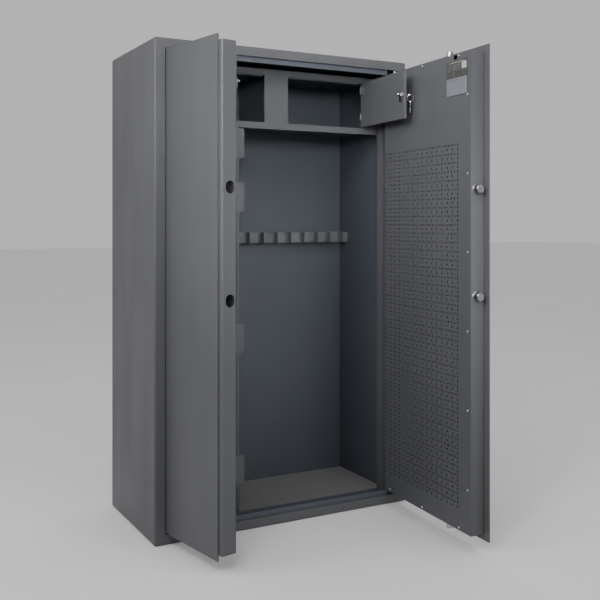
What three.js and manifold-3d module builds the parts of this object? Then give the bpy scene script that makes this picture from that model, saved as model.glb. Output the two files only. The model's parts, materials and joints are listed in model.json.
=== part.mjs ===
// Two-door gun safe: a double-walled steel cabinet with a narrow fixed-leaf door on the left and a wide
// main door on the right, both standing open, a pair of lockers at the top, a divided interior with
// shelves on the left and a notched barrel rack on the right.
// Millimetres, +Z up, +X to the right and +Y to the back, with the origin under the middle of the cabinet.

import * as THREE from 'three';
import { mergeVertices } from 'three/addons/utils/BufferGeometryUtils.js';
import Module from 'manifold-3d';

const wasm = await Module();
wasm.setup();

// ---------- driving dimensions ----------

const WIDTH = 900;
const DEPTH = 425;
const HEIGHT = 1500;
const GAP = 0.3; // between pieces that touch

// double wall
const SKIN = 3; // outer sheet
const LINER = 2; // inner sheet
const WALL = 30; // outside of the skin to inside of the liner
const BACK_WALL = 40;
const FOLD = 5; // outside radius of a folded sheet edge

// door frame
const STILE = 34; // width of the frame's upright faces
const RAIL = 30; // height of the frame's top and bottom faces
const SILL_DEPTH = 84; // how far the frame reaches back
const LIP = 17; // how far the stop lips stand in from the frame's inner edge
const LIP_FRONT = 8; // from the cabinet's face back to the stop lips
const LIP_GAP = 24; // between the end of a lip and the jamb, where the pivots are
const JAMB_FRONT = 14.5; // the jambs start behind the hinge edges of the open doors

// doors, in door coordinates: w from the hinge axis towards the free edge, b inwards from the outer face
const AXIS_IN = 42; // hinge axis from the cabinet's side
const AXIS_BACK = 7; // hinge axis behind the outer face
const DOOR_BOTTOM = 35;
const DOOR_TOP = 1466;
const PLATE = 4;
const HINGE_EDGE_RADIUS = 9;
const LEFT_WIDTH = 285; // hinge axis to free edge of the outer plate
const RIGHT_WIDTH = 526;
const LEFT_OPEN = 80.4; // degrees, as the part stands
const RIGHT_OPEN = 85.6;
const CASE_START = 11; // hinge side of the door's inner case
const CASE_INSET = 17; // case top and bottom inside the plate's edges
const CASE_BACK = 48;
const CASE_SHEET = 2;
const LEFT_CASE_RADIUS = 6; // the fold that shows beside the fixed leaf's plate
const RIGHT_CASE_RADIUS = 2.5;
const LEFT_CASE_END = LEFT_WIDTH + 15; // the fixed leaf's case stands past its plate
const RIGHT_CASE_END = RIGHT_WIDTH - 23; // the main door's plate laps over that case

// boltwork
const BOLT_B = 31; // bolt centres behind the door's outer face
const BOLT_Z = [740, 1049];
const BOLT_R = 12;
const BOLT_OUT = 22; // how far the side bolts stand out
const ROD_W = 369; // top and bottom bolts from the hinge axis
const ROD_R = 10;
const ROD_OUT = 18;
const HANDLE_W = 400;
const HANDLE_Z = (BOLT_Z[0] + BOLT_Z[1]) / 2;
const KEY_W = 320;
const LEFT_ROD_W = 262;
const LEFT_ROD_R = 8;
const LEFT_LEVER_Z = 900;
const KEEP_SIZE = [28, 35]; // the fixed leaf's bolt holes, across and up

// interior
const DIVIDER_X = -143.2; // left face of the upright divider
const DIVIDER_FLANGE = 9;
const SHEET = 1.5;
const SHELF_HEIGHTS = [330, 640, 950];
const SHELF_LIP = 25;
const CLIP_TOPS = [1254.4, 1081, 629, 207]; // front plates on the divider's edge
const CLIP_HEIGHT = 93;
const MAT = 3;
const RACK_BOTTOM = 880;
const RACK_HEIGHT = 38;
const RACK_DEPTH = 58;
const NOTCH_PITCH = 55;
const NOTCH_WIDTH = 25;
const NOTCH_DEPTH = 34;
const NOTCH_COUNT = 10;

// lockers
const LOCKER_FRONT = 94; // behind the cabinet's face
const LOCKER_BOTTOM = 1258;
const LOCKER_TOP = 1453;
const BAY_BOTTOM = 1279; // door openings
const BAY_TOP = 1433;
const BAY_NEAR = 43; // from the middle of the cabinet to an opening's near edge
const BAY_FAR = 332;
const LOCKER_AXIS_X = 336.5;
const LOCKER_AXIS_FORWARD = 4.5; // hinge axis in front of the locker's face
const LOCKER_DOOR = 10; // thickness
const LOCKER_DOOR_START = 6;
const LOCKER_DOOR_END = 291;
const LOCK_W = 279;
const LOCK_Z = 1357;
const CAM_REACH = 24;
const HINGE_LEVELS = [1311, 1403];
const KNUCKLE_R = 3.9;

// places that follow from them
const FRONT = -DEPTH / 2;
const BACK = DEPTH / 2;
const SIDE = WIDTH / 2;
const INNER_X = SIDE - WALL;
const INNER_BACK = BACK - BACK_WALL;
const FLOOR = RAIL - 4;
const AXIS_X = SIDE - AXIS_IN;
const AXIS_Y = FRONT + AXIS_BACK;
const CASE_BOTTOM = DOOR_BOTTOM + CASE_INSET;
const CASE_TOP = DOOR_TOP - CASE_INSET;

// ---------- materials ----------

const paint = new THREE.MeshStandardMaterial({ color: 0x53565a, roughness: 0.55, metalness: 0.2 });
const darkPaint = new THREE.MeshStandardMaterial({ color: 0x46494e, roughness: 0.6, metalness: 0.2 });
const steel = new THREE.MeshStandardMaterial({ color: 0xb5b6b8, roughness: 0.3, metalness: 0.9 });
const chrome = new THREE.MeshStandardMaterial({ color: 0xd8d9dc, roughness: 0.12, metalness: 1 });
const carpet = new THREE.MeshStandardMaterial({ color: 0x47464a, roughness: 0.95, metalness: 0 });
const rackFoam = new THREE.MeshStandardMaterial({ color: 0x3b3c3f, roughness: 0.85, metalness: 0 });
const labelFilm = new THREE.MeshStandardMaterial({ color: 0x2e3230, roughness: 0.5, metalness: 0.1 });

// ---------- solids and helpers ----------

function solidOf(geometry) {
  const bare = geometry.clone();
  bare.deleteAttribute('normal');
  bare.deleteAttribute('uv');
  const merged = mergeVertices(bare, 1e-4);
  return new wasm.Manifold(new wasm.Mesh({
    numProp: 3,
    vertProperties: new Float32Array(merged.attributes.position.array),
    triVerts: new Uint32Array(merged.index.array),
  }));
}

function geometryOf(solid) {
  const mesh = solid.getMesh();
  const geometry = new THREE.BufferGeometry();
  geometry.setAttribute('position', new THREE.BufferAttribute(new Float32Array(mesh.vertProperties), 3));
  geometry.setIndex(new THREE.BufferAttribute(new Uint32Array(mesh.triVerts), 1));
  geometry.computeVertexNormals();
  return geometry;
}

// a box between two corners, in any order
function slab(xs, ys, zs) {
  const geometry = new THREE.BoxGeometry(
    Math.abs(xs[1] - xs[0]), Math.abs(ys[1] - ys[0]), Math.abs(zs[1] - zs[0]));
  geometry.translate((xs[0] + xs[1]) / 2, (ys[0] + ys[1]) / 2, (zs[0] + zs[1]) / 2);
  return geometry;
}

// a round bar with its axis along x, y or z, between two places on that axis
function bar(axis, from, to, radius, centre, sides = 24) {
  const geometry = new THREE.CylinderGeometry(radius, radius, Math.abs(to - from), sides);
  const middle = (from + to) / 2;
  if (axis === 'x') {
    geometry.rotateZ(Math.PI / 2);
    geometry.translate(middle, centre[0], centre[1]);
  } else if (axis === 'y') {
    geometry.translate(centre[0], middle, centre[1]);
  } else {
    geometry.rotateX(Math.PI / 2);
    geometry.translate(centre[0], centre[1], middle);
  }
  return geometry;
}

// an outline in x and y, drawn up between two heights
function column(shape, bottom, top, curveSegments = 6) {
  const geometry = new THREE.ExtrudeGeometry(
    shape, { depth: top - bottom, bevelEnabled: false, curveSegments });
  geometry.translate(0, 0, bottom);
  return geometry;
}

function outline(points) {
  return new THREE.Shape(points.map(([x, y]) => new THREE.Vector2(x, y)));
}

// booleans of several geometries
function joined(...geometries) {
  return geometries.map(solidOf).reduce((all, next) => all.add(next));
}

function cut(body, ...tools) {
  return tools.map(solidOf).reduce((left, tool) => left.subtract(tool), body);
}

const safe = new THREE.Group();

function add(parent, name, shape, material) {
  const geometry = shape.isBufferGeometry ? shape : geometryOf(shape);
  const mesh = new THREE.Mesh(geometry, material);
  mesh.name = name;
  parent.add(mesh);
  return mesh;
}

// ---------- cabinet skins ----------

// side sheet: the outer wall and the frame's upright face are one folded sheet
function sidePanel(sign) {
  const shape = new THREE.Shape();
  shape.moveTo(sign * SIDE, BACK);
  shape.lineTo(sign * SIDE, FRONT + FOLD);
  shape.quadraticCurveTo(sign * SIDE, FRONT, sign * (SIDE - FOLD), FRONT);
  shape.lineTo(sign * (SIDE - STILE), FRONT);
  shape.lineTo(sign * (SIDE - STILE), FRONT + SKIN);
  shape.lineTo(sign * (SIDE - FOLD), FRONT + SKIN);
  shape.quadraticCurveTo(sign * (SIDE - SKIN), FRONT + SKIN, sign * (SIDE - SKIN), FRONT + FOLD);
  shape.lineTo(sign * (SIDE - SKIN), BACK);
  return column(shape, 0, HEIGHT, 4);
}

// roof or base: a sheet between the sides with the frame's cross face folded down or up from it
function crossPanel(outer, inner) {
  const inward = Math.sign(inner - outer);
  const x = SIDE - STILE - GAP;
  const plateX = SIDE - SKIN - GAP;
  const sheet = [outer, outer + inward * SKIN];
  const plate = slab([-plateX, plateX], [FRONT + FOLD + GAP, BACK - SKIN - GAP], sheet);
  const neck = slab([-x, x], [FRONT, FRONT + FOLD + 2], sheet);
  const face = slab([-x, x], [FRONT, FRONT + SKIN], [outer, inner]);
  return joined(plate, neck, face);
}

function anchorHoles() {
  return [-260, 260].map((x) => bar('z', -10, RAIL, 7, [x, 40]));
}

function addSkins() {
  add(safe, 'side_panel_left', sidePanel(-1), paint);
  add(safe, 'side_panel_right', sidePanel(1), paint);
  add(safe, 'roof_panel', crossPanel(HEIGHT, HEIGHT - RAIL), paint);
  add(safe, 'base_panel', cut(crossPanel(0, RAIL), ...anchorHoles()), paint);
  const x = SIDE - SKIN - GAP;
  add(safe, 'back_panel', slab([-x, x], [BACK - SKIN, BACK], [SKIN + GAP, HEIGHT - SKIN - GAP]), paint);
}

// ---------- inner sheets ----------

function addLiners() {
  const sillEnd = FRONT + SILL_DEPTH + GAP;
  const across = [-INNER_X + GAP, INNER_X - GAP];
  const side = [FRONT + SKIN + GAP, INNER_BACK + LINER];
  const level = [FLOOR - LINER, HEIGHT - RAIL + LINER];
  add(safe, 'liner_left', slab([-INNER_X - LINER, -INNER_X], side, level), darkPaint);
  add(safe, 'liner_right', slab([INNER_X, INNER_X + LINER], side, level), darkPaint);
  add(safe, 'liner_back', slab(across, [INNER_BACK, INNER_BACK + LINER], level), darkPaint);
  const inside = [sillEnd, INNER_BACK - GAP];
  add(safe, 'liner_ceiling', slab(across, inside, [HEIGHT - RAIL, HEIGHT - RAIL + LINER]), darkPaint);
  const floor = solidOf(slab(across, inside, [FLOOR - LINER, FLOOR]));
  add(safe, 'floor_plate', cut(floor, ...anchorHoles()), darkPaint);
}

// ---------- door frame ----------

// cross rail: a plate over or under the opening, with the stop lip and two pivot holes
function stopRail(face, inward) {
  const x = INNER_X - GAP;
  const lipEnd = SIDE - WALL - LIP - LIP_GAP;
  const plate = [face, face - inward * LINER];
  const lip = [face - inward, face + inward * LIP];
  const lipY = [FRONT + LIP_FRONT, FRONT + LIP_FRONT + LINER];
  const body = joined(
    slab([-x, x], [FRONT + SKIN + GAP, FRONT + SILL_DEPTH], plate),
    slab([-lipEnd, lipEnd], lipY, lip));
  const pivots = [-AXIS_X, AXIS_X].map((px) => bar('z', face - 10, face + 10, 3.1, [px, AXIS_Y], 20));
  return cut(body, ...pivots);
}

// upright jamb: a folded sheet, cut away at both ends for the pivots
function jamb(sign) {
  const at = ([a, y]) => [sign * (INNER_X - a), FRONT + y];
  const shape = outline([
    [2, JAMB_FRONT], [LIP, JAMB_FRONT], [LIP, 54], [33, 54], [33, SILL_DEPTH], [0.5, SILL_DEPTH],
    [0.5, SILL_DEPTH - 2], [31, SILL_DEPTH - 2], [31, 56], [LIP - 2, 56], [LIP - 2, JAMB_FRONT + 2],
    [2, JAMB_FRONT + 2],
  ].map(at));
  const body = solidOf(column(shape, RAIL + GAP, HEIGHT - RAIL - GAP));
  const x = [sign * (INNER_X + 1), sign * (INNER_X - 34)];
  const y = [FRONT, FRONT + 53];
  return cut(body, slab(x, y, [0, 62]), slab(x, y, [HEIGHT - 62, HEIGHT]));
}

function addFrame() {
  add(safe, 'stop_rail_top', stopRail(HEIGHT - RAIL, -1), paint);
  add(safe, 'stop_rail_bottom', stopRail(RAIL, 1), paint);
  add(safe, 'jamb_left', jamb(-1), paint);
  add(safe, 'jamb_right', jamb(1), paint);
}

// ---------- interior ----------

function divider() {
  const y = FRONT + LOCKER_FRONT;
  const shape = outline([
    [DIVIDER_X, y], [DIVIDER_X + DIVIDER_FLANGE, y], [DIVIDER_X + DIVIDER_FLANGE, y + SHEET],
    [DIVIDER_X + SHEET, y + SHEET], [DIVIDER_X + SHEET, INNER_BACK - GAP], [DIVIDER_X, INNER_BACK - GAP],
  ]);
  return column(shape, FLOOR + GAP, LOCKER_BOTTOM - GAP);
}

// front plate hooked over the divider's edge
function dividerClip(top) {
  const y = FRONT + LOCKER_FRONT - GAP;
  const z = [top - CLIP_HEIGHT, top];
  const right = DIVIDER_X + DIVIDER_FLANGE;
  return joined(
    slab([DIVIDER_X - 11, right + 18], [y - SHEET, y], z),
    slab([right + GAP, right + GAP + SHEET], [y - SHEET, y + 28], z));
}

function shelf(height) {
  const x = [-INNER_X + GAP, DIVIDER_X - GAP];
  const y = [FRONT + LOCKER_FRONT + 4, INNER_BACK - GAP];
  const under = SHEET - SHELF_LIP;
  const shape = outline([
    [y[0], under], [y[0] + SHEET, under], [y[0] + SHEET, 0], [y[1], 0], [y[1], SHEET], [y[0], SHEET],
  ]);
  const geometry = column(shape, x[0], x[1]);
  geometry.rotateX(Math.PI / 2);
  geometry.rotateZ(Math.PI / 2);
  geometry.translate(0, 0, height);
  return geometry;
}

// barrel rack: a bar along the back wall with a row of round-ended notches
function barrelRack() {
  const left = DIVIDER_X + SHEET + 1;
  const right = INNER_X - 1;
  const y = [INNER_BACK - RACK_DEPTH - GAP, INNER_BACK - GAP];
  const z = [RACK_BOTTOM, RACK_BOTTOM + RACK_HEIGHT];
  const body = solidOf(slab([left, right], y, z));
  const first = (left + right) / 2 - (NOTCH_PITCH * (NOTCH_COUNT - 1)) / 2;
  const notches = [];
  for (let i = 0; i < NOTCH_COUNT; i += 1) {
    const x = first + i * NOTCH_PITCH;
    const half = NOTCH_WIDTH / 2;
    const end = y[0] + NOTCH_DEPTH - half;
    const shape = new THREE.Shape();
    shape.moveTo(x - half, y[0] - 5);
    shape.lineTo(x + half, y[0] - 5);
    shape.lineTo(x + half, end);
    shape.absarc(x, end, half, 0, Math.PI, false);
    notches.push(column(shape, z[0] - 5, z[1] + 5, 8));
  }
  return cut(body, ...notches);
}

function addInterior() {
  add(safe, 'divider_wall', divider(), darkPaint);
  CLIP_TOPS.forEach((top, i) => add(safe, `divider_clip_${i + 1}`, dividerClip(top), paint));
  SHELF_HEIGHTS.forEach((z, i) => add(safe, `shelf_${i + 1}`, shelf(z), darkPaint));
  const mat = slab(
    [DIVIDER_X + DIVIDER_FLANGE + 2, INNER_X - 1],
    [FRONT + SILL_DEPTH + 2, INNER_BACK - 1],
    [FLOOR + GAP, FLOOR + GAP + MAT]);
  add(safe, 'floor_mat', mat, carpet);
  add(safe, 'barrel_rack', barrelRack(), rackFoam);
}

// ---------- lockers ----------

// lower knuckles of the locker hinges, with their pins and leaves
function frameKnuckles(sign) {
  const y = FRONT + LOCKER_FRONT - LOCKER_AXIS_FORWARD;
  return HINGE_LEVELS.flatMap((z) => [
    bar('z', z - 13, z - GAP, KNUCKLE_R, [sign * LOCKER_AXIS_X, y], 16),
    bar('z', z - 8, z + 11, 1.8, [sign * LOCKER_AXIS_X, y], 12),
    slab([sign * LOCKER_AXIS_X, sign * (LOCKER_AXIS_X + 16)],
      [y + LOCKER_AXIS_FORWARD - 2, y + LOCKER_AXIS_FORWARD + 0.5], [z - 13, z - GAP]),
  ]);
}

// tab folded back from an opening's near edge, which the cam turns behind
function camCatch(sign) {
  const y = FRONT + LOCKER_FRONT;
  return slab([sign * (BAY_NEAR - SHEET), sign * BAY_NEAR], [y + 0.5, y + 13], [LOCK_Z - 20, LOCK_Z + 20]);
}

function lockerFront() {
  const y = [FRONT + LOCKER_FRONT, FRONT + LOCKER_FRONT + SHEET];
  const plate = slab([-INNER_X + GAP, INNER_X - GAP], y, [LOCKER_BOTTOM, LOCKER_TOP]);
  const bay = (s) => slab([s * BAY_NEAR, s * BAY_FAR], [y[0] - 5, y[1] + 5], [BAY_BOTTOM, BAY_TOP]);
  const bays = [-1, 1].map(bay);
  const body = cut(solidOf(plate), ...bays);
  const catches = [-1, 1].map(camCatch);
  const extras = [...frameKnuckles(-1), ...frameKnuckles(1), ...catches];
  return extras.reduce((all, piece) => all.add(solidOf(piece)), body);
}

function addLocker() {
  const y = [FRONT + LOCKER_FRONT + SHEET + GAP, INNER_BACK - GAP];
  const x = [-INNER_X + GAP, INNER_X - GAP];
  add(safe, 'locker_front', lockerFront(), paint);
  add(safe, 'locker_floor', slab(x, y, [BAY_BOTTOM - 2, BAY_BOTTOM - 0.5]), darkPaint);
  const stopY = [FRONT + LOCKER_FRONT + LOCKER_DOOR + 2, FRONT + LOCKER_FRONT + LOCKER_DOOR + 3.5];
  const stop = (s) => slab([s * (BAY_NEAR + 2), s * (BAY_FAR - 2)], stopY, [BAY_TOP - 3, LOCKER_TOP - 1]);
  const stops = [-1, 1].map(stop);
  add(safe, 'locker_top', joined(slab(x, y, [LOCKER_TOP - SHEET, LOCKER_TOP]), ...stops), darkPaint);
  const wall = slab([-SHEET / 2, SHEET / 2], y, [BAY_BOTTOM - 0.2, LOCKER_TOP - SHEET - GAP]);
  add(safe, 'locker_partition', wall, darkPaint);
}

// locker door in door coordinates: x along the door from its hinge, y inwards from the hinge axis
function lockerDoor(sign) {
  const x = [sign * LOCKER_DOOR_START, sign * LOCKER_DOOR_END];
  const y = [LOCKER_AXIS_FORWARD, LOCKER_AXIS_FORWARD + LOCKER_DOOR];
  const z = [BAY_BOTTOM + 1.5, BAY_TOP - 1.5];
  const inset = (pair, amount) => [pair[0] + Math.sign(pair[1] - pair[0]) * amount,
    pair[1] - Math.sign(pair[1] - pair[0]) * amount];
  const hollow = slab(inset(x, SHEET), inset(y, SHEET), inset(z, SHEET));
  const lockHole = bar('y', -20, 40, 9.3, [sign * LOCK_W, LOCK_Z]);
  let body = cut(solidOf(slab(x, y, z)), hollow, lockHole);
  for (const level of HINGE_LEVELS) {
    const knuckle = joined(
      bar('z', level, level + 13, KNUCKLE_R, [0, 0], 16),
      slab([0, sign * 22], [LOCKER_AXIS_FORWARD - 2, LOCKER_AXIS_FORWARD - GAP], [level, level + 13]),
      slab([sign * 8, sign * 22], [LOCKER_AXIS_FORWARD - 1, LOCKER_AXIS_FORWARD + 0.5], [level, level + 13]));
    body = body.add(cut(knuckle, bar('z', level - 1, level + 14, 2, [0, 0], 12)));
  }
  return body;
}

function lockBarrel(sign) {
  const centre = [sign * LOCK_W, LOCK_Z];
  const front = LOCKER_AXIS_FORWARD - GAP;
  const body = joined(
    bar('y', front - 2, front, 11, centre),
    bar('y', front - 1, 18.5, 8.5, centre),
    bar('y', LOCKER_AXIS_FORWARD + LOCKER_DOOR + GAP, 17, 11.5, centre, 6));
  return cut(body, bar('y', front - 5, 30, 5, centre));
}

// cam with the turning plug and end screw that carry it; it hangs down when unlocked
function lockCam(sign) {
  const centre = [sign * LOCK_W, LOCK_Z];
  const low = LOCK_Z - CAM_REACH;
  const across = [sign * (LOCK_W - 6), sign * (LOCK_W + 6)];
  const body = joined(
    bar('y', LOCKER_AXIS_FORWARD - 1.5, 20, 4.9, centre),
    slab(across, [19, 21], [low + 5, LOCK_Z + 6]),
    bar('y', 19, 21, 6, [centre[0], low + 6], 16),
    bar('y', 20, 24, 5.5, centre, 6),
    bar('y', 23, 30, 3.6, centre, 16));
  const slotX = [sign * (LOCK_W - 3.6), sign * (LOCK_W + 3.6)];
  return cut(body, slab(slotX, [-5, 10], [LOCK_Z - 0.9, LOCK_Z + 0.9]));
}

// key lying level in the main-side locker's lock: a blade and a round bow with a hole
function lockerKey(sign) {
  const x = sign * LOCK_W;
  const bow = cut(
    solidOf(bar('z', LOCK_Z - 1.2, LOCK_Z + 1.2, 9, [x, -13])),
    bar('z', LOCK_Z - 5, LOCK_Z + 5, 3, [x, -17], 16));
  return bow.add(solidOf(slab([x - 3.2, x + 3.2], [-6, 9], [LOCK_Z - 0.6, LOCK_Z + 0.6])));
}

function addLockerDoor(sign, side, openAngle) {
  const group = new THREE.Group();
  group.position.set(-sign * LOCKER_AXIS_X, FRONT + LOCKER_FRONT - LOCKER_AXIS_FORWARD, 0);
  group.rotation.z = -sign * THREE.MathUtils.degToRad(openAngle);
  safe.add(group);
  add(group, `locker_door_${side}`, lockerDoor(sign), paint);
  add(group, `locker_lock_${side}`, lockBarrel(sign), chrome);
  add(group, `locker_cam_${side}`, lockCam(sign), chrome);
  if (side === 'right') add(group, 'locker_key', lockerKey(sign), chrome);
}

// ---------- main doors, in door coordinates (sign 1 for the left door, -1 for the right) ----------

const inward = (b) => b - AXIS_BACK;

function doorPlate(sign, width) {
  const r = HINGE_EDGE_RADIUS;
  const centreW = 3.5;
  const edge = Math.asin((r - PLATE) / r);
  const points = [];
  for (let i = 0; i <= 6; i += 1) {
    const t = Math.PI / 2 + (edge - Math.PI / 2) * (i / 6);
    points.push([sign * (centreW - r * Math.cos(t)), inward(r - r * Math.sin(t))]);
  }
  points.push([sign * width, inward(PLATE)], [sign * width, inward(0)]);
  return column(outline(points), DOOR_BOTTOM, DOOR_TOP);
}

// outline of the case in w and b, with its free outer edge folded round
function caseOutline(sign, end, radius, inset) {
  const r = radius - inset;
  const w = [CASE_START + inset, end - inset];
  const front = inward(PLATE + GAP + inset);
  const shape = new THREE.Shape();
  shape.moveTo(sign * w[0], front);
  shape.lineTo(sign * (w[1] - r), front);
  shape.quadraticCurveTo(sign * w[1], front, sign * w[1], front + r);
  shape.lineTo(sign * w[1], inward(CASE_BACK) + (inset ? 5 : 0));
  shape.lineTo(sign * w[0], inward(CASE_BACK) + (inset ? 5 : 0));
  return shape;
}

// door case: a folded sheet ring behind the plate, open towards it, closed inside by the cover
function doorCase(sign, end, radius, openings) {
  const outer = solidOf(column(caseOutline(sign, end, radius, 0), CASE_BOTTOM, CASE_TOP));
  const inner = caseOutline(sign, end, radius, CASE_SHEET);
  const hollow = column(inner, CASE_BOTTOM + CASE_SHEET, CASE_TOP - CASE_SHEET);
  const mouth = slab(
    [sign * (CASE_START + 20), sign * (end - 30)], [inward(0), inward(20)],
    [CASE_BOTTOM + 20, CASE_TOP - 20]);
  return cut(outer, hollow, mouth, ...openings);
}

function doorCover(sign, end, tools = []) {
  const plate = slab(
    [sign * CASE_START, sign * end], [inward(CASE_BACK + GAP), inward(CASE_BACK + GAP + CASE_SHEET)],
    [CASE_BOTTOM, CASE_TOP]);
  return cut(solidOf(plate), ...tools);
}

// pivot: a block behind the plate with a pin that turns in the frame's rail
function pivot(sign, atTop) {
  const z = atTop ? [HEIGHT - 60, HEIGHT - 52] : [52, 60];
  const pin = atTop ? [HEIGHT - 56, HEIGHT - RAIL + 7] : [RAIL - 7, 56];
  return joined(
    slab([sign * -4, sign * (CASE_START - GAP)], [inward(PLATE + GAP), inward(17)], z),
    bar('z', pin[0], pin[1], 2.6, [0, 0], 16));
}

// rounded slot through a case end, for the other door's bolt
function boltKeep(sign, z) {
  const [across, up] = KEEP_SIZE;
  const r = across / 2;
  const rise = (up - across) / 2;
  const shape = new THREE.Shape();
  shape.absarc(0, rise, r, 0, Math.PI, false);
  shape.absarc(0, -rise, r, Math.PI, 2 * Math.PI, false);
  const geometry = column(shape, -20, 20, 10);
  geometry.rotateX(Math.PI / 2);
  geometry.rotateZ(Math.PI / 2);
  geometry.translate(sign * LEFT_CASE_END, inward(BOLT_B), z);
  return geometry;
}

function verticalHole(sign, w, radius) {
  return bar('z', CASE_BOTTOM - 10, CASE_TOP + 10, radius, [sign * w, inward(BOLT_B)]);
}

// flat rod with a round bolt at its outer end, from one height to the other
function flushRod(sign, w, radius, from, shoulder, tip) {
  return joined(
    slab([sign * (w - 10), sign * (w + 10)], [inward(BOLT_B - 3), inward(BOLT_B + 3)], [from, shoulder]),
    bar('z', shoulder - Math.sign(shoulder - from), tip, radius, [sign * w, inward(BOLT_B)]));
}

function doorGroup(sign, openAngle) {
  const group = new THREE.Group();
  group.position.set(-sign * AXIS_X, AXIS_Y, 0);
  group.rotation.z = -sign * THREE.MathUtils.degToRad(openAngle);
  safe.add(group);
  return group;
}

function addPivots(group, sign, side) {
  add(group, `${side}_pivot_top`, pivot(sign, true), steel);
  add(group, `${side}_pivot_bottom`, pivot(sign, false), steel);
}

// lever that throws the fixed leaf's rods, on a spindle through its cover
function leafLever(sign) {
  const centre = [sign * LEFT_ROD_W, LEFT_LEVER_Z];
  const back = CASE_BACK + GAP + CASE_SHEET + GAP;
  return joined(
    bar('y', inward(40), inward(back + 7), 4.8, centre),
    bar('y', inward(back), inward(back + 6), 15, centre),
    slab([sign * (LEFT_ROD_W - 9), sign * (LEFT_ROD_W + 9)], [inward(back + 1), inward(back + 5)],
      [LEFT_LEVER_Z - 78, LEFT_LEVER_Z]),
    bar('y', inward(back), inward(back + 14), 8, [centre[0], LEFT_LEVER_Z - 74]));
}

function addLeftDoor() {
  const sign = 1;
  const group = doorGroup(sign, LEFT_OPEN);
  const rodHole = verticalHole(sign, LEFT_ROD_W, LEFT_ROD_R + 0.5);
  const keeps = BOLT_Z.map((z) => boltKeep(sign, z));
  add(group, 'left_door_plate', doorPlate(sign, LEFT_WIDTH), paint);
  add(group, 'left_door_case', doorCase(sign, LEFT_CASE_END, LEFT_CASE_RADIUS, [rodHole, ...keeps]), paint);
  const spindleHole = bar('y', 20, 60, 5.2, [sign * LEFT_ROD_W, LEFT_LEVER_Z]);
  add(group, 'left_door_cover', doorCover(sign, LEFT_CASE_END, [spindleHole]), paint);
  addPivots(group, sign, 'left');
  add(group, 'left_leaf_lever', leafLever(sign), darkPaint);
  const middle = LEFT_LEVER_Z;
  add(group, 'left_rod_top',
    flushRod(sign, LEFT_ROD_W, LEFT_ROD_R, middle + 30, CASE_TOP - 40, CASE_TOP - 1), steel);
  add(group, 'left_rod_bottom',
    flushRod(sign, LEFT_ROD_W, LEFT_ROD_R, middle - 30, CASE_BOTTOM + 40, CASE_BOTTOM + 1), steel);
}

// outside handle: a round rose, a neck and a lever with rounded ends
function doorHandle(sign) {
  const centre = [sign * HANDLE_W, HANDLE_Z];
  const lever = new THREE.Shape();
  lever.absarc(0, 0, 15, 0, Math.PI, false);
  lever.absarc(0, -105, 11, Math.PI, 2 * Math.PI, false);
  const blade = column(lever, -6, 6, 10);
  blade.rotateX(Math.PI / 2);
  blade.translate(centre[0], inward(-44), centre[1]);
  const body = joined(
    bar('y', inward(-14), inward(-GAP), 27, centre, 32),
    bar('y', inward(-40), inward(-12), 13, centre),
    blade);
  return cut(body, bar('y', inward(-30), inward(5), 6.4, centre));
}

function spindle(sign) {
  const centre = [sign * HANDLE_W, HANDLE_Z];
  return joined(
    bar('y', inward(-29), inward(13), 6, centre),
    bar('y', inward(12), inward(20), 30, centre, 32));
}

function sideBolt(sign, z) {
  return joined(
    bar('x', sign * 464.3, sign * (RIGHT_CASE_END + BOLT_OUT - 1), BOLT_R, [inward(BOLT_B), z]),
    bar('x', sign * 480, sign * (RIGHT_CASE_END + BOLT_OUT), BOLT_R - 1, [inward(BOLT_B), z]));
}

function lockCase(sign) {
  return joined(
    slab([sign * (KEY_W - 45), sign * (KEY_W + 25)], [inward(8), inward(26)], [HANDLE_Z - 50, HANDLE_Z + 50]),
    bar('y', inward(0.5), inward(9), 7, [sign * KEY_W, HANDLE_Z]));
}

// keyhole cover: a drop-shaped plate that hangs from a pin above the keyhole
function keyholeCover(sign) {
  const shape = new THREE.Shape();
  shape.absarc(0, 22, 7, 0, Math.PI, false);
  shape.absarc(0, 0, 15, Math.PI, 2 * Math.PI, false);
  const drop = column(shape, -1.5, 1.5, 10);
  drop.rotateX(Math.PI / 2);
  drop.translate(sign * KEY_W, inward(-2.2), HANDLE_Z);
  return joined(drop, bar('y', inward(-6), inward(-GAP), 4, [sign * KEY_W, HANDLE_Z + 22], 16));
}

function addBoltwork(group, sign) {
  add(group, 'handle_spindle', spindle(sign), steel);
  add(group, 'bolt_bar', slab([sign * 440, sign * 464], [inward(BOLT_B - 5), inward(BOLT_B + 5)],
    [BOLT_Z[0] - 40, BOLT_Z[1] + 40]), steel);
  BOLT_Z.forEach((z, i) => add(group, `side_bolt_${i === 0 ? 'lower' : 'upper'}`, sideBolt(sign, z), chrome));
  const reach = ROD_OUT;
  add(group, 'rod_top',
    flushRod(sign, ROD_W, ROD_R, HANDLE_Z + 45, CASE_TOP - 40, CASE_TOP + reach), chrome);
  add(group, 'rod_bottom',
    flushRod(sign, ROD_W, ROD_R, HANDLE_Z - 45, CASE_BOTTOM + 40, CASE_BOTTOM - reach), chrome);
  add(group, 'lock_case', lockCase(sign), steel);
}

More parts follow.
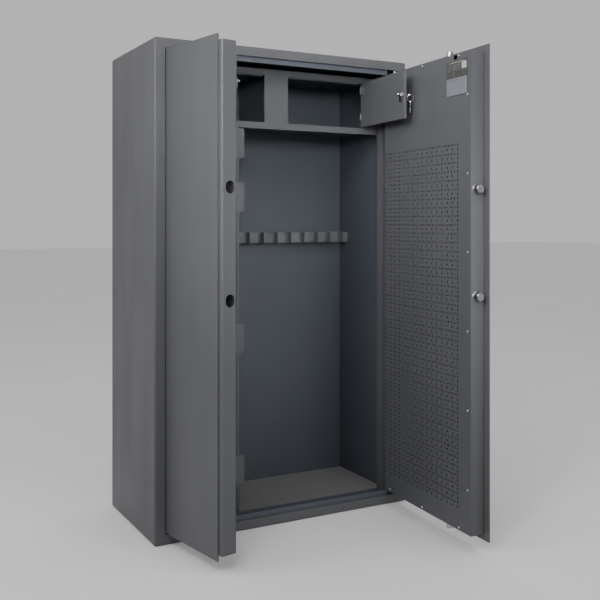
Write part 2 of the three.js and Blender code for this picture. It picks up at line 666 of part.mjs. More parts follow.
function addRightDoor() {
  const sign = -1;
  const group = doorGroup(sign, RIGHT_OPEN);
  const plate = cut(
    solidOf(doorPlate(sign, RIGHT_WIDTH)),
    bar('y', inward(-5), inward(10), 6.4, [sign * HANDLE_W, HANDLE_Z]),
    bar('y', inward(-5), inward(10), 7.3, [sign * KEY_W, HANDLE_Z]));
  add(group, 'right_door_plate', plate, paint);
  const sideHoles = BOLT_Z.map((z) => bar('x', sign * 490, sign * 520, BOLT_R + 0.6, [inward(BOLT_B), z]));
  const rodHole = verticalHole(sign, ROD_W, ROD_R + 0.6);
  const rightCase = doorCase(sign, RIGHT_CASE_END, RIGHT_CASE_RADIUS, [rodHole, ...sideHoles]);
  add(group, 'right_door_case', rightCase, paint);
  add(group, 'right_door_cover', doorCover(sign, RIGHT_CASE_END), paint);
  addPivots(group, sign, 'right');
  const labelBack = CASE_BACK + GAP + CASE_SHEET + GAP;
  add(group, 'rating_plate', slab([sign * 381, sign * 487], [inward(labelBack), inward(labelBack + 0.8)],
    [1326.5, 1429.5]), labelFilm);
  add(group, 'door_handle', doorHandle(sign), darkPaint);
  add(group, 'keyhole_cover', keyholeCover(sign), steel);
  addBoltwork(group, sign);
}

addSkins();
addLiners();
addFrame();
addInterior();
addLocker();
addLockerDoor(1, 'left', LEFT_OPEN);
addLockerDoor(-1, 'right', RIGHT_OPEN);
addLeftDoor();
addRightDoor();

export default safe;
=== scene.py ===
import json
import math
import random

import bmesh
import bpy
from mathutils import Matrix, Vector, noise
from mathutils.geometry import delaunay_2d_cdt


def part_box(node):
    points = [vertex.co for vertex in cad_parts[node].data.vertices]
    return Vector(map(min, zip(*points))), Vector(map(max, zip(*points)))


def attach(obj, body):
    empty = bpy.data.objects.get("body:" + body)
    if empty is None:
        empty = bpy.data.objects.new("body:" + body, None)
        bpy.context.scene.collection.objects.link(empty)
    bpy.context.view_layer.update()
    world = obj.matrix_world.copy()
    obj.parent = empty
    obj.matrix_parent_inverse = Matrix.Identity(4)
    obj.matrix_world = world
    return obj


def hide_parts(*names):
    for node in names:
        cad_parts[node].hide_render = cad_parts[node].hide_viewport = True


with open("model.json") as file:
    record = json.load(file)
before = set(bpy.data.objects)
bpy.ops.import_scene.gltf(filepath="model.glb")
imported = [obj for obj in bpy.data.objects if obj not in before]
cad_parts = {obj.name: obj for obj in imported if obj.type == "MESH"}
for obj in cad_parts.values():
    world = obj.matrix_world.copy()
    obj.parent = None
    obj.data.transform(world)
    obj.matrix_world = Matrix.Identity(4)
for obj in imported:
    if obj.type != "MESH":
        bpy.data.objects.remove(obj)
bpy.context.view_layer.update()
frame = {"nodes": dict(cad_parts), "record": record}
rng = random.Random(7)

# ---------- sizes, in millimetres, as in the CAD ----------

MM = 0.001
HALF_WIDTH = 450.0
HEIGHT = 1500.0
FRONT = -212.5
BACK = 212.5
SHEET = 3.0
BEND = 5.5  # bending radius of the outer sheet, at its outer side
CORNER = 7.0
FACE_SIDE = 34.0  # width of the frame's upright faces
FACE_CROSS = 30.0  # height of the frame's cross faces
AXIS_X = 408.0
AXIS_BACK = 7.0
OPEN_ANGLE = {"left": 80.4, "right": 85.6}
SIGN = {"left": 1, "right": -1}
CASE_START = 11.0
RIGHT_CASE_END = 503.0
CASE_BOTTOM = 52.0
CASE_TOP = 1449.0
COVER_B = (48.3, 50.3)
BOLT_B = 31.0
BOLT_Z = (740.0, 1049.0)
BOLT_R = 12.0
ROD_W = 369.0
ROD_R = 10.0
LOCKER_AXIS_X = 336.5
LOCKER_AXIS_Y = FRONT + 94.0 - 4.5
LOCK_W = 279.0
LOCK_Z = 1357.0
HINGE_LEVELS = (1316.0, 1405.0)

# screws: cover screws by door coordinates, lip screws by the frame's
COLUMN_LEVELS = (182, 411, 639, 867, 1095, 1323)
ROW_LEVELS = (61, 1442)
LIP_SCREW_X = 131.0
LIP_SCREW_Z = 38.5
LIP_FRONT = 8.0

# perforated field of the main door's cover
HOLE_R = 3.6
HOLE_SIDES = 8
FIELD_W = (22.0, 438.0)
FIELD_Z = (118.0, 1182.0)
ROWS = 82
DENSE_HOLES = 26
SPARSE_HOLES = 16
SLOT_W = (417.0, 435.0)
SLOT_DEPTH = 16.0

LABEL_W = (381.0, 487.0)
LABEL_Z = (1326.5, 1429.5)


# ---------- door coordinates: w from the hinge, b inwards from the outer face ----------


def hinge_matrix(side, axis_x, axis_y):
    """Frame of an open leaf: origin on its hinge axis, X along the leaf, Z up."""
    sign = SIGN[side]
    turn = Matrix.Rotation(math.radians(-sign * OPEN_ANGLE[side]), 4, "Z")
    return Matrix.Translation((-sign * axis_x * MM, axis_y * MM, 0)) @ turn


def door_matrix(side):
    return hinge_matrix(side, AXIS_X, FRONT + AXIS_BACK)


def locker_matrix(side):
    return hinge_matrix(side, LOCKER_AXIS_X, LOCKER_AXIS_Y)


def on_door(side, w, b, z):
    return Vector((SIGN[side] * w, b - AXIS_BACK, z)) * MM


# ---------- mesh helpers ----------


def finish_piece(name, bm, material, body, matrix=None, smooth=True):
    bmesh.ops.recalc_face_normals(bm, faces=bm.faces)
    mesh = bpy.data.meshes.new(name)
    if matrix is not None:
        bm.transform(matrix)
    bm.to_mesh(mesh)
    bm.free()
    obj = bpy.data.objects.new(name, mesh)
    bpy.context.scene.collection.objects.link(obj)
    materials = material if isinstance(material, list) else [material]
    for one in materials:
        mesh.materials.append(one)
    if smooth:
        add_smoothing(obj)
    if body:
        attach(obj, body)
    return obj


def add_box(bm, low, high, material_index=0):
    """A box between two corners given in metres."""
    made = bmesh.ops.create_cube(bm, size=1.0)
    size = Vector(high) - Vector(low)
    middle = (Vector(high) + Vector(low)) / 2
    for vert in made["verts"]:
        vert.co = Vector((vert.co.x * size.x, vert.co.y * size.y, vert.co.z * size.z)) + middle
    for face in {f for v in made["verts"] for f in v.link_faces}:
        face.material_index = material_index


def add_turned(bm, profile, centre, direction, sides=20, material_index=0, turn=0.0):
    """A turned piece: profile is (radius, height) pairs in mm, along direction from centre in metres."""
    axis = Vector(direction).normalized()
    across = axis.orthogonal().normalized()
    third = axis.cross(across)
    rings = []
    for radius, height in profile:
        middle = Vector(centre) + axis * height * MM
        if radius == 0:
            rings.append([bm.verts.new(middle)])
            continue
        ring = []
        for i in range(sides):
            t = 2 * math.pi * i / sides + turn
            outwards = across * math.cos(t) + third * math.sin(t)
            ring.append(bm.verts.new(middle + outwards * radius * MM))
        rings.append(ring)
    for low, high in zip(rings, rings[1:]):
        for i in range(sides):
            j = (i + 1) % sides
            if len(low) == 1 and len(high) == 1:
                continue
            if len(low) == 1:
                face = bm.faces.new((low[0], high[i], high[j]))
            elif len(high) == 1:
                face = bm.faces.new((low[i], low[j], high[0]))
            else:
                face = bm.faces.new((low[i], low[j], high[j], high[i]))
            face.material_index = material_index


def smoothing_tree():
    """Node group that shades smooth, except over edges sharper than 34 degrees."""
    tree = bpy.data.node_groups.new("smooth_by_edge_angle", "GeometryNodeTree")
    tree.interface.new_socket("Geometry", in_out="INPUT", socket_type="NodeSocketGeometry")
    tree.interface.new_socket("Geometry", in_out="OUTPUT", socket_type="NodeSocketGeometry")
    given = tree.nodes.new("NodeGroupInput")
    out = tree.nodes.new("NodeGroupOutput")
    faces = tree.nodes.new("GeometryNodeSetShadeSmooth")
    faces.domain = "FACE"
    edges = tree.nodes.new("GeometryNodeSetShadeSmooth")
    edges.domain = "EDGE"
    edges.inputs["Shade Smooth"].default_value = False
    angle = tree.nodes.new("GeometryNodeInputMeshEdgeAngle")
    compare = tree.nodes.new("FunctionNodeCompare")
    compare.operation = "GREATER_THAN"
    compare.inputs["B"].default_value = math.radians(34)
    tree.links.new(angle.outputs["Unsigned Angle"], compare.inputs["A"])
    tree.links.new(given.outputs[0], faces.inputs["Geometry"])
    tree.links.new(faces.outputs[0], edges.inputs["Geometry"])
    tree.links.new(compare.outputs[0], edges.inputs["Selection"])
    tree.links.new(edges.outputs[0], out.inputs[0])
    return tree


SMOOTHING = smoothing_tree()


def add_smoothing(obj):
    modifier = obj.modifiers.new("smooth", "NODES")
    modifier.node_group = SMOOTHING


def soften_edges(obj, width):
    weld = obj.modifiers.new("weld", "WELD")
    weld.merge_threshold = 0.00002
    bevel = obj.modifiers.new("bevel", "BEVEL")
    bevel.width = width * MM
    bevel.segments = 2
    bevel.limit_method = "ANGLE"
    bevel.angle_limit = math.radians(40)
    add_smoothing(obj)
    weighted = obj.modifiers.new("weighted", "WEIGHTED_NORMAL")
    weighted.keep_sharp = True


# ---------- materials ----------


def new_material(name):
    material = bpy.data.materials.new(name)
    material.use_nodes = True
    nodes = material.node_tree.nodes
    return material, nodes, material.node_tree.links, nodes["Principled BSDF"]


def noise_node(nodes, links, coord, scale, detail=3.0, stretch=None):
    tex = nodes.new("ShaderNodeTexNoise")
    tex.inputs["Scale"].default_value = scale
    tex.inputs["Detail"].default_value = detail
    if stretch:
        mapping = nodes.new("ShaderNodeMapping")
        mapping.inputs["Scale"].default_value = stretch
        links.new(coord, mapping.inputs["Vector"])
        links.new(mapping.outputs[0], tex.inputs["Vector"])
    else:
        links.new(coord, tex.inputs["Vector"])
    return tex.outputs["Fac"]


def ranged(nodes, links, value, low, high, source=(0.3, 0.7)):
    node = nodes.new("ShaderNodeMapRange")
    node.inputs["From Min"].default_value = source[0]
    node.inputs["From Max"].default_value = source[1]
    node.inputs["To Min"].default_value = low
    node.inputs["To Max"].default_value = high
    links.new(value, node.inputs["Value"])
    return node.outputs["Result"]


def mixed(nodes, links, factor, a, b):
    node = nodes.new("ShaderNodeMix")
    node.data_type = "RGBA"
    links.new(factor, node.inputs["Factor"])
    node.inputs["A"].default_value = (*a, 1)
    node.inputs["B"].default_value = (*b, 1)
    return node.outputs["Result"]


def bumped(nodes, links, shader, height, strength, distance):
    bump = nodes.new("ShaderNodeBump")
    bump.inputs["Strength"].default_value = strength
    bump.inputs["Distance"].default_value = distance
    links.new(height, bump.inputs["Height"])
    links.new(bump.outputs[0], shader.inputs["Normal"])


def powder_coat(name, low, high, roughness, grain):
    """Powder coat: a fine even orange peel, faint clouds of colour and gloss, and a little dust."""
    material, nodes, links, shader = new_material(name)
    coord = nodes.new("ShaderNodeTexCoord").outputs["Object"]
    clouds = noise_node(nodes, links, coord, 2.2, 4)
    peel = noise_node(nodes, links, coord, grain, 2)
    smears = noise_node(nodes, links, coord, 9.0, 5, (1.0, 1.0, 0.25))
    colour = mixed(nodes, links, ranged(nodes, links, clouds, 0, 1), low, high)
    links.new(colour, shader.inputs["Base Color"])
    links.new(ranged(nodes, links, smears, *roughness), shader.inputs["Roughness"])
    bumped(nodes, links, shader, peel, 0.22, 0.00035)
    shader.inputs["Specular IOR Level"].default_value = 0.45
    return material


def plated(name, colour, roughness, brushed):
    """Bright or brushed metal with fine turned or drawn scratches."""
    material, nodes, links, shader = new_material(name)
    coord = nodes.new("ShaderNodeTexCoord").outputs["Object"]
    stretch = (1.0, 1.0, 0.05) if brushed else (1.0, 1.0, 1.0)
    lines = noise_node(nodes, links, coord, 900.0 if brushed else 260.0, 3, stretch)
    stains = noise_node(nodes, links, coord, 30.0, 4)
    dark = tuple(c * 0.82 for c in colour)
    stained = mixed(nodes, links, ranged(nodes, links, stains, 0, 1), dark, colour)
    links.new(stained, shader.inputs["Base Color"])
    links.new(ranged(nodes, links, lines, *roughness), shader.inputs["Roughness"])
    bumped(nodes, links, shader, lines, 0.12 if brushed else 0.04, 0.0002)
    shader.inputs["Metallic"].default_value = 1.0
    return material


def carpet(name):
    """Short needle felt: flecks of two greys and warm brown, with a fibrous relief and a soft sheen."""
    material, nodes, links, shader = new_material(name)
    coord = nodes.new("ShaderNodeTexCoord").outputs["Object"]
    flecks = noise_node(nodes, links, coord, 420.0, 6)
    fibres = noise_node(nodes, links, coord, 1100.0, 3, (1.0, 0.35, 1.0))
    wear = noise_node(nodes, links, coord, 7.0, 3)
    dark, pale = (0.030, 0.030, 0.032), (0.096, 0.091, 0.093)
    colour = mixed(nodes, links, ranged(nodes, links, flecks, 0, 1), dark, pale)
    tint = nodes.new("ShaderNodeMix")
    tint.data_type = "RGBA"
    tint.blend_type = "MULTIPLY"
    tint.inputs["Factor"].default_value = 0.5
    links.new(colour, tint.inputs["A"])
    worn = mixed(nodes, links, ranged(nodes, links, wear, 0, 1), (0.9, 0.85, 0.82), (1.0, 1.0, 1.0))
    links.new(worn, tint.inputs["B"])
    links.new(tint.outputs["Result"], shader.inputs["Base Color"])
    shader.inputs["Roughness"].default_value = 0.95
    shader.inputs["Sheen Weight"].default_value = 0.25
    bumped(nodes, links, shader, fibres, 0.8, 0.0012)
    return material


def foam(name):
    material, nodes, links, shader = new_material(name)
    coord = nodes.new("ShaderNodeTexCoord").outputs["Object"]
    cells = nodes.new("ShaderNodeTexVoronoi")
    cells.inputs["Scale"].default_value = 700.0
    links.new(coord, cells.inputs["Vector"])
    clouds = noise_node(nodes, links, coord, 14.0, 4)
    dark, pale = (0.070, 0.073, 0.080), (0.105, 0.108, 0.116)
    colour = mixed(nodes, links, ranged(nodes, links, clouds, 0, 1), dark, pale)
    links.new(colour, shader.inputs["Base Color"])
    shader.inputs["Roughness"].default_value = 0.85
    bumped(nodes, links, shader, cells.outputs["Distance"], 0.4, 0.0005)
    return material


def film(name, low, high, roughness):
    material, nodes, links, shader = new_material(name)
    coord = nodes.new("ShaderNodeTexCoord").outputs["Object"]
    clouds = noise_node(nodes, links, coord, 45.0, 4)
    scuffs = noise_node(nodes, links, coord, 300.0, 2, (1.0, 1.0, 0.2))
    colour = mixed(nodes, links, ranged(nodes, links, clouds, 0, 1), low, high)
    links.new(colour, shader.inputs["Base Color"])
    links.new(ranged(nodes, links, scuffs, *roughness), shader.inputs["Roughness"])
    bumped(nodes, links, shader, scuffs, 0.05, 0.0001)
    return material


def pale_floor(name):
    material, nodes, links, shader = new_material(name)
    coord = nodes.new("ShaderNodeTexCoord").outputs["Object"]
    clouds = noise_node(nodes, links, coord, 1.5, 3)
    dark, pale = (0.80, 0.80, 0.805), (0.84, 0.84, 0.84)
    colour = mixed(nodes, links, ranged(nodes, links, clouds, 0, 1), dark, pale)
    links.new(colour, shader.inputs["Base Color"])
    shader.inputs["Roughness"].default_value = 0.8
    return material


OUTER = powder_coat(
    "anthracite_powder_coat", (0.060, 0.061, 0.067), (0.070, 0.071, 0.077), (0.42, 0.56), 1500.0)
# partly painted shade: darker than the outer coat, standing in for the shade inside the cabinet, and a
# little bluer
INNER_PAINT_DARKENED_FOR_SHADE = powder_coat(
    "inner_paint_darkened_for_shade", (0.048, 0.055, 0.067), (0.056, 0.064, 0.078), (0.5, 0.64), 1100.0)
BLACK = powder_coat(
    "satin_black_coat", (0.030, 0.031, 0.034), (0.040, 0.041, 0.044), (0.32, 0.48), 1300.0)
CHROME = plated("bright_plating", (0.86, 0.86, 0.88), (0.10, 0.24), False)
# painted shade: a darker copy of the bright plating, standing in for the dim reflections on the bolts,
# locks and cams
PLATING_DARKENED_FOR_SHADE = plated("plating_darkened_for_shade", (0.42, 0.42, 0.44), (0.20, 0.34), False)
STEEL = plated("brushed_bare_steel", (0.56, 0.56, 0.57), (0.28, 0.46), True)
CARPET = carpet("needle_felt")
FOAM = foam("rack_foam")
LABEL_DARK = film("label_olive", (0.036, 0.039, 0.034), (0.048, 0.051, 0.044), (0.35, 0.5))
LABEL_PALE = film("label_violet_grey", (0.125, 0.125, 0.15), (0.15, 0.15, 0.175), (0.4, 0.55))
LABEL_WHITE = film("label_off_white", (0.30, 0.31, 0.29), (0.36, 0.37, 0.35), (0.4, 0.5))

SLOT_MATERIALS = {
    "outer_paint": OUTER,
    "inner_paint": INNER_PAINT_DARKENED_FOR_SHADE,
    "handle_paint": BLACK,
    "bright_steel": CHROME,
    "bare_steel": STEEL,
    "mat": CARPET,
    "rack_foam": FOAM,
    "label_film": LABEL_DARK,
}

# nodes whose finish differs a little from their slot's; the bolts, locks and cams take a darker copy of
# the bright plating, painted shade for the dim reflections they catch
NODES_IN_SHADED_PLATING = (
    "side_bolt_lower", "side_bolt_upper", "bolt_bar", "rod_top", "rod_bottom",
    "locker_lock_left", "locker_lock_right", "locker_cam_left", "locker_cam_right",
)
NODE_MATERIALS = {node: PLATING_DARKENED_FOR_SHADE for node in NODES_IN_SHADED_PLATING}
# the stop rails take the darker inner paint, which carries painted shade
NODE_MATERIALS["stop_rail_top"] = INNER_PAINT_DARKENED_FOR_SHADE
NODE_MATERIALS["stop_rail_bottom"] = INNER_PAINT_DARKENED_FOR_SHADE


def dress_frame():
    """Each CAD node gets its slot's material and slightly rounded edges."""
    for entry in frame["record"]["subparts"]:
        obj = frame["nodes"][entry["node"]]
        slot = entry["material_slot"]
        material = NODE_MATERIALS.get(entry["node"], SLOT_MATERIALS[slot])
        for material_slot in obj.material_slots:
            material_slot.material = material
        low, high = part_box(entry["node"])
        thinnest = min(high - low) / MM
        width = 0.5 if thinnest < 4 else 0.8
        if slot == "handle_paint":
            width = 1.8
        if slot == "outer_paint" and "door_plate" in entry["node"]:
            width = 0.9
        soften_edges(obj, width)


# ---------- cabinet's outer sheet ----------


def rounded_ring(inset_x, inset_z, radius, y, segments=5):
    """Points of a rounded rectangle round the cabinet's front; sizes in mm, points in metres."""
    x = HALF_WIDTH - inset_x
    low, high = inset_z, HEIGHT - inset_z
    corners = [
        (x - radius, high - radius, 0),
        (-x + radius, high - radius, 90),
        (-x + radius, low + radius, 180),
        (x - radius, low + radius, 270),
    ]
    points = []
    for cx, cz, start in corners:
        for i in range(segments + 1):
            t = math.radians(start + 90 * i / segments)
            points.append(Vector((cx + radius * math.cos(t), y, cz + radius * math.sin(t))) * MM)
    return points


def bend_ring(skin, radius, degrees):
    """Ring on the bend between the frame's face and the sides; skin is 0 outside, SHEET inside."""
    t = math.radians(degrees)
    inset = skin + radius * (1 - math.sin(t))
    y = FRONT + skin + radius * (1 - math.cos(t))
    return rounded_ring(inset, inset, max(CORNER - inset, 1.0), y)


def folded_shell():
    """Sides, roof, base and frame face as one folded sheet with bent edges."""
    edge = 0.5  # rounding of the sheet's free edge
    edge_radius = 1.5
    rings = [
        rounded_ring(FACE_SIDE, FACE_CROSS, edge_radius, FRONT + edge),
        rounded_ring(FACE_SIDE - edge, FACE_CROSS - edge, edge_radius, FRONT),
    ]
    rings += [bend_ring(0, BEND, 90 * i / 6) for i in range(7)]
    rings.append(rounded_ring(0, 0, CORNER, BACK))
    rings.append(rounded_ring(SHEET, SHEET, CORNER - SHEET, BACK))
    rings += [bend_ring(SHEET, BEND - SHEET, 90 - 90 * i / 4) for i in range(5)]
    rings.append(rounded_ring(FACE_SIDE, FACE_CROSS, edge_radius, FRONT + SHEET))
    bm = bmesh.new()
    loops = [[bm.verts.new(p) for p in ring] for ring in rings]
    for a, b in zip(loops, loops[1:] + loops[:1]):
        count = len(a)
        for i in range(count):
            j = (i + 1) % count
            bm.faces.new((a[i], a[j], b[j], b[i]))
    shell = finish_piece("folded_outer_shell", bm, OUTER, "cabinet", None)
    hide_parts("side_panel_left", "side_panel_right", "roof_panel", "base_panel")


# ---------- main door's perforated cover ----------


def circle(w, z, radius, sides, turn=0.0):
    points = []
    for i in range(sides):
        t = 2 * math.pi * i / sides + turn
        points.append((w + radius * math.cos(t), z + radius * math.sin(t)))
    return points


def perforation():
    """Hole centres: even rows, every other one wide-spaced, all ending on the same two columns."""
    centres = []
    for row in range(ROWS):
        z = FIELD_Z[1] - (FIELD_Z[1] - FIELD_Z[0]) * row / (ROWS - 1)
        count = SPARSE_HOLES if row % 2 else DENSE_HOLES
        for i in range(count):
            centres.append((FIELD_W[1] - (FIELD_W[1] - FIELD_W[0]) * i / (count - 1), z))
    return centres


def perforated_cover():
    outline = [
        (CASE_START, CASE_BOTTOM), (RIGHT_CASE_END, CASE_BOTTOM), (RIGHT_CASE_END, CASE_TOP),
        (SLOT_W[1], CASE_TOP), (SLOT_W[1], CASE_TOP - SLOT_DEPTH),
        (SLOT_W[0], CASE_TOP - SLOT_DEPTH), (SLOT_W[0], CASE_TOP), (CASE_START, CASE_TOP),
    ]
    loops = [outline]
    loops += [circle(w, z, HOLE_R, HOLE_SIDES, math.pi / HOLE_SIDES) for w, z in perforation()]
    points = []
    edges = []
    for loop in loops:
        first = len(points)
        count = len(loop)
        points.extend(Vector(p) for p in loop)
        edges.extend((first + i, first + (i + 1) % count) for i in range(count))
    flat, _, faces, origins, _, _ = delaunay_2d_cdt(points, edges, [], 1, 1e-5)
    bm = bmesh.new()
    verts = [bm.verts.new(on_door("right", p.x, COVER_B[1], p.y)) for p in flat]
    # a face whose corners all lie on one hole's ring fills that hole, so it is left out
    ring_of = [(came_from[0] - len(outline)) // HOLE_SIDES for came_from in origins]
    for face in faces:
        rings = {ring_of[i] for i in face}
        if len(rings) > 1 or rings == {-1}:
            bm.faces.new([verts[i] for i in face])
    place = door_matrix("right")
    cover = finish_piece("main_door_perforated_cover", bm, OUTER, None, place, False)
    inwards = place.to_3x3() @ Vector((0, 1, 0))
    if cover.data.polygons[0].normal.dot(inwards) < 0:
        cover.data.flip_normals()
    thick = cover.modifiers.new("sheet", "SOLIDIFY")
    thick.thickness = (COVER_B[1] - COVER_B[0]) * MM
    thick.offset = -1
    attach(cover, "right_door")
    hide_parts("right_door_cover")


# ---------- screws, bushes, label ----------

SCREW = [(0, 0.6), (1.5, 0.6), (1.7, 1.5), (2.9, 1.25), (3.7, 0.6), (3.8, 0.0)]


def add_screw(bm, centre, direction, scale=1.0):
    turn = rng.uniform(0, math.pi)
    profile = [(r * scale, h * scale) for r, h in SCREW]
    add_turned(bm, profile, centre, direction, 12, 0, turn)


def cover_screws(side, places, name):
    bm = bmesh.new()
    for w, z in places:
        add_screw(bm, on_door(side, w, COVER_B[1], z), (0, 1, 0), 1.0)
    finish_piece(name, bm, CHROME, f"{side}_door", door_matrix(side))


def bolt_bushes():
    """Turned collars where the bolts leave the main door's case."""
    bm = bmesh.new()
    side = [(BOLT_R + r, h) for r, h in ((0.5, 0), (0.5, 2.6), (1.4, 3.2), (2.6, 2.2), (3, 0))]
    for z in BOLT_Z:
        add_turned(bm, side, on_door("right", RIGHT_CASE_END, BOLT_B, z), (-1, 0, 0), 28)
    end = [(ROD_R + r, h) for r, h in ((0.7, 0), (0.7, 2.0), (2.2, 2.0), (3.4, 0.9), (3.6, 0))]
    for z, up in ((CASE_TOP, 1), (CASE_BOTTOM, -1)):
        add_turned(bm, end, on_door("right", ROD_W, BOLT_B, z), (0, 0, up), 24)
    # the collars take the darker copy of the plating, painted shade for dim reflections
    finish_piece("bolt_bushes", bm, PLATING_DARKENED_FOR_SHADE, "right_door", door_matrix("right"))


def frame_screws():
    """Small round heads on the stop lips."""
    bm = bmesh.new()
    for x in (-LIP_SCREW_X, LIP_SCREW_X):
        for z in (HEIGHT - LIP_SCREW_Z, LIP_SCREW_Z):
            add_screw(bm, Vector((x, FRONT + LIP_FRONT, z)) * MM, (0, -1, 0), 1.25)
    finish_piece("stop_lip_screws", bm, OUTER, "cabinet", None)


def rating_label():
    """A two-part printed plate with plain bars and a plain square in place of print."""
    bm = bmesh.new()
    back = COVER_B[1] + 0.3
    face = back + 0.8

    def patch(w0, w1, z0, z1, material_index, lift):
        a = on_door("right", w0, back if lift == 0 else face - 0.02, z0)
        b = on_door("right", w1, face + lift, z1)
        low = Vector(min(p) for p in zip(a, b))
        high = Vector(max(p) for p in zip(a, b))
        add_box(bm, low, high, material_index)

    low_w, high_w = LABEL_W
    low_z, high_z = LABEL_Z
    patch(low_w, high_w, low_z, high_z, 0, 0)
    patch(low_w + 1.2, high_w - 1.2, low_z + 1.2, low_z + 52, 1, 0.06)
    patch(high_w - 27, high_w - 3, high_z - 28, high_z - 8, 2, 0.06)
    patch(low_w + 14, high_w - 12, high_z - 6, high_z - 4.6, 2, 0.05)
    for row in range(3):
        z = high_z - 13 - row * 6.4
        patch(low_w + 34, low_w + 34 + rng.uniform(34, 40), z - 1.6, z, 1, 0.05)
        patch(low_w + 8, low_w + 8 + rng.uniform(14, 22), z - 1.2, z, 1, 0.05)
    for row in range(3):
        z = high_z - 34 - row * 5.0
        patch(low_w + 34, low_w + 40 + rng.uniform(0, 5), z - 1.8, z, 1, 0.05)
    patch(low_w + 14, low_w + 62, low_z + 45, low_z + 46.4, 0, 0.12)
    patch(low_w + 36, low_w + 52, low_z + 38, low_z + 39.4, 0, 0.12)
    films = [LABEL_DARK, LABEL_PALE, LABEL_WHITE]
    place = door_matrix("right")
    plate = finish_piece("blank_rating_label", bm, films, "right_door", place, False)
    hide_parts("rating_plate")


# ---------- keys on the main-side locker ----------


def add_tube_ring(bm, centre, normal, radius, wire, around=28, across=8):
    axis = Vector(normal).normalized()
    u = axis.orthogonal().normalized()
    v = axis.cross(u)
    rings = []
    for i in range(around):
        t = 2 * math.pi * i / around
        out = u * math.cos(t) + v * math.sin(t)
        middle = Vector(centre) + out * radius
        ring = []
        for j in range(across):
            s = 2 * math.pi * j / across
            ring.append(bm.verts.new(middle + (out * math.cos(s) + axis * math.sin(s)) * wire))
        rings.append(ring)
    for i in range(around):
        a, b = rings[i], rings[(i + 1) % around]
        for j in range(across):
            k = (j + 1) % across
            bm.faces.new((a[j], b[j], b[k], a[k]))


def hanging_key():
    """A ring through the level key's bow, hanging down, with a spare key on it."""
    bm = bmesh.new()
    x = -LOCK_W
    hole_y = -17.0
    ring_r = 10.5
    ring_z = LOCK_Z - ring_r + 1.0
    add_tube_ring(bm, Vector((x, hole_y, ring_z)) * MM, (1, 0, 0.12), ring_r * MM, 0.75 * MM)
    low = ring_z - ring_r
    lean = Matrix.Rotation(math.radians(4), 4, "X")
    hang = Matrix.Translation(Vector((x, hole_y + 1.0, low + 2.0)) * MM) @ lean
    spare = bmesh.new()
    add_tube_ring(spare, (0, 0, -3.4 * MM), (0.25, 1, 0), 4.6 * MM, 1.1 * MM, 24, 6)
    add_box(spare, Vector((-2.6, -0.8, -38)) * MM, Vector((2.6, 0.8, -7)) * MM)
    for step in range(4):
        z = -36 + step * 5
        add_box(spare, Vector((2.5, -0.7, z)) * MM, Vector((3.3 + (step % 2), 0.7, z + 3)) * MM)
    spare.transform(hang)
    kept = bpy.data.meshes.new("spare_key_blade")
    spare.to_mesh(kept)
    spare.free()
    bm.from_mesh(kept)
    bpy.data.meshes.remove(kept)
    finish_piece("spare_key_on_ring", bm, CHROME, "right_cam", locker_matrix("right"))


def locker_hinges(side):
    """Hinge leaves and knuckles on the inside of a locker door, at its hinge end."""
    sign = SIGN[side]
    leaf_w = (10.0, 27.0)
    leaf_y = (14.4, 16.4)
    half = 12.0  # half the leaf's height
    knuckle_w, knuckle_y = 11.5, 18.2
    screw_w, screw_y = 21.0, 16.2
    near, far = sorted(sign * w for w in leaf_w)
    bm = bmesh.new()
    for level in HINGE_LEVELS:
        low = Vector((near, leaf_y[0], level - half)) * MM
        high = Vector((far, leaf_y[1], level + half)) * MM
        add_box(bm, low, high)
        knuckle = [(0, 0), (2.6, 0), (3.0, 0.4), (3.0, 23.6), (2.6, 24), (0, 24)]
        add_turned(bm, knuckle, Vector((sign * knuckle_w, knuckle_y, level - half)) * MM, (0, 0, 1), 18)
        for z in (-7, 7):
            add_screw(bm, Vector((sign * screw_w, screw_y, level + z)) * MM, (0, 1, 0), 0.7)
    place = locker_matrix(side)
    finish_piece(f"{side}_locker_hinges", bm, OUTER, f"{side}_locker_door", place)


def cam_end_cap(side):
    """A small domed nut on the end of a locker cam's screw."""
    bm = bmesh.new()
    dome = [(3.7, 0), (4.1, 0.3), (4.1, 1.6), (3.6, 2.7), (2.3, 3.5), (0, 3.8)]
    end_of_screw = Vector((SIGN[side] * LOCK_W, 28.6, LOCK_Z)) * MM
    add_turned(bm, dome, end_of_screw, (0, 1, 0), 20)
    place = locker_matrix(side)
    finish_piece(f"{side}_cam_end_cap", bm, CHROME, f"{side}_cam", place)


# ---------- carpet ----------


def floor_carpet():
    """The felt mat: a laid sheet with an uneven pile and edges that drop a little."""
    low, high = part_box("floor_mat")
    bm = bmesh.new()
    nx, ny = 150, 92
    edge_drop = {0: 0.0009, 1: 0.0002}
    grid = []
    for j in range(ny + 1):
        row = []
        for i in range(nx + 1):
            x = low.x + (high.x - low.x) * i / nx
            y = low.y + (high.y - low.y) * j / ny
            drop = edge_drop.get(min(i, nx - i, j, ny - j), 0.0)
            fine = noise.noise(Vector((x, y, 0)) * 160) * 0.00035
            broad = noise.noise(Vector((x, y, 3)) * 14) * 0.0003
            row.append(bm.verts.new((x, y, high.z - 0.0006 + fine + broad - drop)))
        grid.append(row)
    for j in range(ny):
        for i in range(nx):
            bm.faces.new((grid[j][i], grid[j][i + 1], grid[j + 1][i + 1], grid[j + 1][i]))
    mat = finish_piece("felt_floor_mat", bm, CARPET, None, None)
    thick = mat.modifiers.new("pile", "SOLIDIFY")
    thick.thickness = 0.0022
    thick.offset = -1
    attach(mat, "cabinet")
    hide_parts("floor_mat")


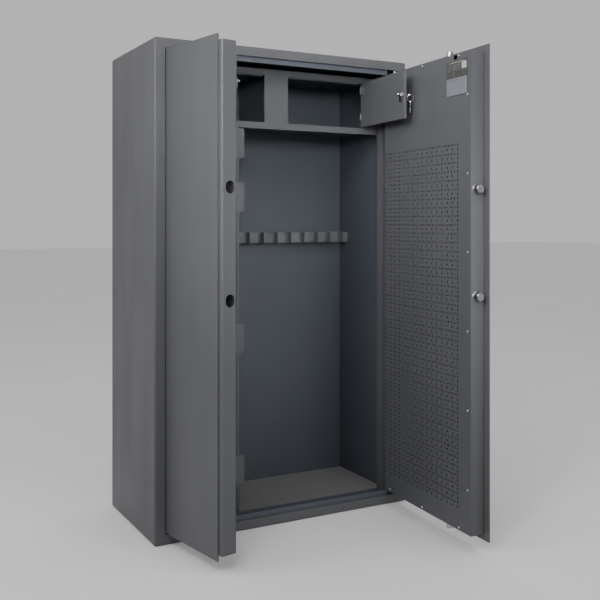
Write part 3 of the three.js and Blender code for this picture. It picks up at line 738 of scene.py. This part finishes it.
dress_frame()
folded_shell()
perforated_cover()
cover_screws(
    "right",
    [(487.5, z) for z in COLUMN_LEVELS]
    + [(44, ROW_LEVELS[0])]
    + [(w, z) for w in (245, 444) for z in ROW_LEVELS],
    "right_cover_screws",
)
cover_screws(
    "left",
    [(w, z) for w in (24, 286) for z in COLUMN_LEVELS]
    + [(w, z) for w in (60, 155, 250) for z in ROW_LEVELS],
    "left_cover_screws",
)
bolt_bushes()
frame_screws()
rating_label()
hanging_key()
for leaf in ("left", "right"):
    locker_hinges(leaf)
for leaf in ("left", "right"):
    cam_end_cap(leaf)
floor_carpet()

# ---------- floor, light, camera ----------


def studio_floor():
    bm = bmesh.new()
    bmesh.ops.create_grid(bm, x_segments=4, y_segments=4, size=30.0)
    place = Matrix.Translation((0, 0, -0.0008))
    floor = finish_piece("studio_floor", bm, pale_floor("pale_floor"), None, place)


def area_light(name, location, target, size, power, spread):
    data = bpy.data.lights.new(name, "AREA")
    data.shape = "RECTANGLE"
    data.size, data.size_y = size
    data.energy = power
    data.spread = math.radians(spread)
    light = bpy.data.objects.new(name, data)
    bpy.context.scene.collection.objects.link(light)
    light.location = location
    aim = Vector(target) - Vector(location)
    light.rotation_euler = aim.to_track_quat("-Z", "Y").to_euler()


# name, place, point aimed at, size, power, spread in degrees
LIGHTS = (
    ("key", (-1.9, -2.7, 3.1), (0.1, -0.2, 2.0), (1.6, 1.2), 58, 180),
    ("top", (0.7, -2.0, 3.0), (0.1, -0.1, 2.0), (2.0, 1.0), 20, 180),
    ("fill", (-3.2, 0.0, 2.8), (-0.45, 0.0, 2.3), (1.8, 1.2), 38, 180),
    ("inside", (0.25, -1.6, 1.2), (0.0, 0.17, 0.42), (0.25, 0.5), 1.4, 54),
    ("lockers", (-1.15, -2.9, 1.5), (0.15, 0.0, 1.33), (0.6, 0.5), 2.2, 30),
    ("door", (-2.5, -2.1, 1.9), (0.43, -0.52, 1.0), (1.0, 0.8), 4.8, 34),
)
WORLD_STRENGTH = 0.62


def studio_light():
    world = bpy.data.worlds.new("studio")
    bpy.context.scene.world = world
    world.use_nodes = True
    background = world.node_tree.nodes["Background"]
    background.inputs["Color"].default_value = (1.0, 1.0, 1.0, 1)
    background.inputs["Strength"].default_value = WORLD_STRENGTH
    for light in LIGHTS:
        area_light(*light)


def camera():
    data = bpy.data.cameras.new("camera")
    data.lens = 52.4
    data.sensor_width = 36.0
    data.shift_y = -0.129
    data.clip_end = 100.0
    view = bpy.data.objects.new("camera", data)
    bpy.context.scene.collection.objects.link(view)
    view.location = (-1.3035, -2.6660, 0.9527)
    view.rotation_euler = (math.radians(90), 0, math.radians(-28.65))
    bpy.context.scene.camera = view


studio_floor()
studio_light()
camera()
